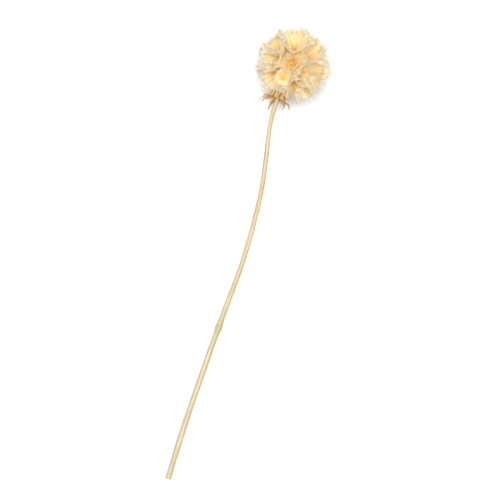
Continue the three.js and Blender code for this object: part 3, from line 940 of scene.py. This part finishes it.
class SCABIOSA_OT_involucre(bpy.types.Operator):
    """Builds the collar under the head and the narrow bracts that curl down and out from it"""

    bl_idname = "scabiosa.involucre"
    bl_label = "Involucre"

    def execute(self, context):
        """Each blade's middle leans out from the stem by the bracts' lean, plus its spread * sin(pi *
        bend^0.6), less its curl * bend^2, where bend runs from 0 at the end of the straight root to 1 at
        the tip. Its section is half as wide as the half-width * (0.7 + 0.6 s)(1 - s^3) + 0.1 at a share s
        of its length, channelled by the 1.5th power of the distance across, with a midrib, veins and
        crumples. The collar is a ring turned from a closed profile.
        """
        top = -(RECEPTACLE_BASE + STEM_JOINT_GAP)
        inner = STEM_RADII[0] + STEM_JOINT_GAP
        outer = inner + COLLAR_WALL
        draw = draws_from(SEED + 1)
        first, second = square_to(HEAD_AXIS)
        share = np.linspace(0, 1, BRACT_STEPS)
        phi = full_turn(BRACT_SIDES)
        blades = []
        for k in range(BRACTS):
            turn = 2 * math.pi * (k + 0.25 * next(draw)) / BRACTS
            length = between(BRACT_LENGTHS, next(draw))
            spread = between(BRACT_SPREADS, next(draw))
            curl = between(BRACT_CURLS, next(draw))
            twist = math.radians(between(BRACT_TWISTS, next(draw)))
            out = first * math.cos(turn) + second * math.sin(turn)
            side = np.cross(HEAD_AXIS, out)
            bend = np.maximum(0, share * length - BRACT_STRAIGHT) / (length - BRACT_STRAIGHT)
            lean = np.radians(BRACT_LEAN + spread * np.sin(np.pi * bend**0.6) - curl * bend**2)
            along = -np.cos(lean)[:, None] * HEAD_AXIS + np.sin(lean)[:, None] * out
            root = HEAD_CENTRE + out * (inner + outer) / 2 + HEAD_AXIS * (top - COLLAR_HEIGHT * 0.3)
            step = length / (BRACT_STEPS - 1)
            middle = root + np.vstack([np.zeros(3), np.cumsum((along[1:] + along[:-1]) / 2 * step, axis=0)])
            flat = np.cross(along, side)
            turned = (twist * bend)[:, None]
            c, s = np.cos(turned), np.sin(turned)
            side, flat = side * c + flat * s, flat * c - side * s
            width = (BRACT_HALF_WIDTH * (0.7 + 0.6 * share) * (1 - share**3) + 0.1)[:, None]
            thick = BRACT_THICK * (1 - 0.5 * share)[:, None]
            u = np.cos(phi)
            ridge = 1 + 1.2 * np.exp(-((u / 0.16) ** 2)) + 0.5 * np.cos(5 * np.pi * u)
            fine = 0.6 * np.sin(41 * share + 3 * k)[:, None] * u**2
            crumple = np.sin(23 * share + 5 * k)[:, None] * u + fine
            lift = thick * np.sin(phi) * ridge + BRACT_CHANNEL * width * np.abs(u) ** 1.5
            lift += BRACT_CRUMPLE * crumple
            across = width * u * (1 - 0.12 * np.sin(31 * share + 2 * k)[:, None])
            sideways = across[..., None] * side[:, None]
            blades.append(middle[:, None] + sideways + lift[..., None] * flat[:, None])
        blade_points, blade_faces, blade_uv = skin_rings(np.array(blades), share)

        turns = full_turn(COLLAR_SIDES)
        e = circle(first, second, turns)
        rib = 1 + COLLAR_RIB_DEPTH * np.cos(COLLAR_RIBS * turns)
        below = [inner, inner + 0.1, outer * 0.9, outer * 0.99]
        radii = np.array(below + [outer, outer - 0.1, inner + 0.1, inner])
        below = [0.1 - COLLAR_HEIGHT, -COLLAR_HEIGHT, -COLLAR_HEIGHT, 0.2 - COLLAR_HEIGHT]
        heights = np.array(below + [-0.2, 0.0, 0.0, -0.1])
        out = (radii[:, None] * np.where(radii[:, None] > outer * 0.85, rib, 1))[..., None] * e[None]
        ring = HEAD_CENTRE + out + (top + heights)[:, None, None] * HEAD_AXIS
        rings = len(heights)
        quad, quad_uv = ring_quads(rings, rings, COLLAR_SIDES, 0.02 * np.arange(rings + 1))
        points = np.concatenate([blade_points, ring.reshape(-1, 3)])
        faces = [blade_faces[0], quad + len(blade_points), blade_faces[1]]
        bracts = fill_mesh("bracts", points, faces, [blade_uv[0], quad_uv, blade_uv[1]])
        dress(bracts, brown_bract(), "involucre")
        return {"FINISHED"}


class SCABIOSA_OT_stem(bpy.types.Operator):
    """Builds the slender stem: a ribbed round section on its bent route, with a scarred node and a cut end"""

    bl_idname = "scabiosa.stem"
    bl_label = "Stem"

    def execute(self, context):
        """The radius runs evenly from the head's to the cut's, plus a bell curve at the node, and is
        multiplied by the shrink plus a cosine for the broad ribs, one for the fine ribs and two slow waves,
        on turns that twist along the stem. At the scar it rises by a bell curve and then dips, where the
        scar's place is the node's plus the dip * cos(2 * turn).
        """
        middle, share = stem_route(STEM_SAMPLES)
        along = unit(np.gradient(middle, axis=0))
        side = unit(np.cross(np.array([0.0, 0.0, 1.0]), along))
        up = np.cross(along, side)
        turns = full_turn(STEM_SIDES)
        swell = STEM_NODE_SWELL * np.exp(-(((share - STEM_NODE_AT) / STEM_NODE_LENGTH) ** 2))
        radius = between(STEM_RADII, share) + swell
        twist = turns[None] + STEM_TWIST * share[:, None]
        fine = STEM_FINE_RIB_DEPTH * np.cos(STEM_FINE_RIBS * twist + 20 * share[:, None])
        furrow = STEM_RIB_DEPTH * np.cos(STEM_RIBS * twist) + fine
        uneven = 0.02 * np.sin(37 * share)[:, None] + 0.015 * np.sin(83 * share[:, None] + 2 * turns)
        from_scar = (share[:, None] - STEM_NODE_AT - SCAR_DIP * np.cos(2 * turns)) / SCAR_WIDTH
        scar = np.exp(-(from_scar**2)) - 0.8 * np.exp(-((from_scar - 2) ** 2))
        r = radius[:, None] * (STEM_SHRINK + furrow + uneven) + SCAR_HEIGHT * scar
        ring = middle[:, None] + r[..., None] * circle(side, up, turns)
        spoke = ring[-1] - middle[-1]
        cut = [middle[-1] + reach * spoke - sunk * along[-1] for reach, sunk in CUT_RINGS]
        rings = np.concatenate([ring, np.array(cut)])
        v = np.concatenate([share * 0.99, [0.992, 0.994, 0.996, 1.0]])
        points, faces, uv = skin_rings(rings[None], v)
        stem = fill_mesh("stalk", points, faces, uv)
        dress(stem, straw_stalk(), "stem")
        # The last two rings of quads, and the fan of triangles that ends the piece, are the cut's pith.
        stem.data.materials.append(stem_pith())
        slots = np.zeros(len(stem.data.polygons), dtype=np.int32)
        slots[len(faces[0]) - 2 * STEM_SIDES : len(faces[0])] = 1
        slots[-STEM_SIDES:] = 1
        stem.data.polygons.foreach_set("material_index", slots)
        return {"FINISHED"}


class SCABIOSA_OT_stage(bpy.types.Operator):
    """Sets the pale floor, the soft studio light and the camera"""

    bl_idname = "scabiosa.stage"
    bl_label = "Stage"

    def execute(self, context):
        """Each lamp is a disc facing the camera's target. The camera stands back from it at the elevation."""
        scene = context.scene
        settings = scene.scabiosa_stage
        corners = FLOOR_HALF_SIZE * np.array([[-1, -1, 0], [1, -1, 0], [1, 1, 0], [-1, 1, 0]])
        floor = fill_mesh("floor", corners, [np.array([[0, 1, 2, 3]])])
        floor.data.materials.append(paper(tuple(settings.floor_colour)))

        world = bpy.data.worlds.new("studio")
        scene.world = world
        world.use_nodes = True
        background = world.node_tree.nodes["Background"]
        background.inputs["Color"].default_value = (*linear("#FFFFFF"), 1)
        background.inputs["Strength"].default_value = settings.surround

        target = Vector(CAMERA_TARGET)
        for name, place, width, power in LAMPS:
            data = bpy.data.lights.new(name, "AREA")
            data.shape = "DISK"
            data.size = width
            data.energy = power
            lamp = bpy.data.objects.new(name, data)
            lamp.location = place
            lamp.rotation_euler = (target - lamp.location).to_track_quat("-Z", "Y").to_euler()
            context.collection.objects.link(lamp)

        data = bpy.data.cameras.new("camera")
        data.lens = CAMERA_LENS
        data.sensor_width = 36
        data.clip_end = 20
        camera = bpy.data.objects.new("camera", data)
        context.collection.objects.link(camera)
        back = Vector((0, -math.cos(settings.elevation), math.sin(settings.elevation)))
        camera.location = target + back * CAMERA_DISTANCE
        camera.rotation_euler = (-back).to_track_quat("-Z", "Y").to_euler()
        scene.camera = camera
        scene.view_settings.view_transform = "Standard"
        scene.view_settings.look = "None"
        scene.view_settings.exposure = 0.0
        return {"FINISHED"}


class SCABIOSA_PT_panel(bpy.types.Panel):
    """Lists the pieces in the 3D view's sidebar"""

    bl_label = "Scabiosa"
    bl_idname = "SCABIOSA_PT_panel"
    bl_space_type = "VIEW_3D"
    bl_region_type = "UI"
    bl_category = "Scabiosa"

    def draw(self, context):
        """Shows the settings and the operators."""
        layout = self.layout
        for settings in (context.scene.scabiosa_head, context.scene.scabiosa_stage):
            for name in settings.__annotations__:
                layout.prop(settings, name)
        for operator in OPERATORS:
            layout.operator(operator.bl_idname)


OPERATORS = (
    SCABIOSA_OT_cups,
    SCABIOSA_OT_rays,
    SCABIOSA_OT_stars,
    SCABIOSA_OT_receptacle,
    SCABIOSA_OT_involucre,
    SCABIOSA_OT_stem,
    SCABIOSA_OT_stage,
)
CLASSES = (ScabiosaHeadSettings, ScabiosaStageSettings, *OPERATORS, SCABIOSA_PT_panel)


def register():
    """Registers every class, and puts the two groups of settings on the scene."""
    for cls in CLASSES:
        bpy.utils.register_class(cls)
    bpy.types.Scene.scabiosa_head = bpy.props.PointerProperty(type=ScabiosaHeadSettings)
    bpy.types.Scene.scabiosa_stage = bpy.props.PointerProperty(type=ScabiosaStageSettings)


def unregister():
    """Undoes register, in the opposite order."""
    del bpy.types.Scene.scabiosa_stage
    del bpy.types.Scene.scabiosa_head
    for cls in reversed(CLASSES):
        bpy.utils.unregister_class(cls)


def main():
    """Registers the add-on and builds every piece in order."""
    register()
    bpy.ops.scabiosa.cups()
    bpy.ops.scabiosa.rays()
    bpy.ops.scabiosa.stars()
    bpy.ops.scabiosa.receptacle()
    bpy.ops.scabiosa.involucre()
    bpy.ops.scabiosa.stem()
    bpy.ops.scabiosa.stage()


if __name__ == "__main__":
    main()
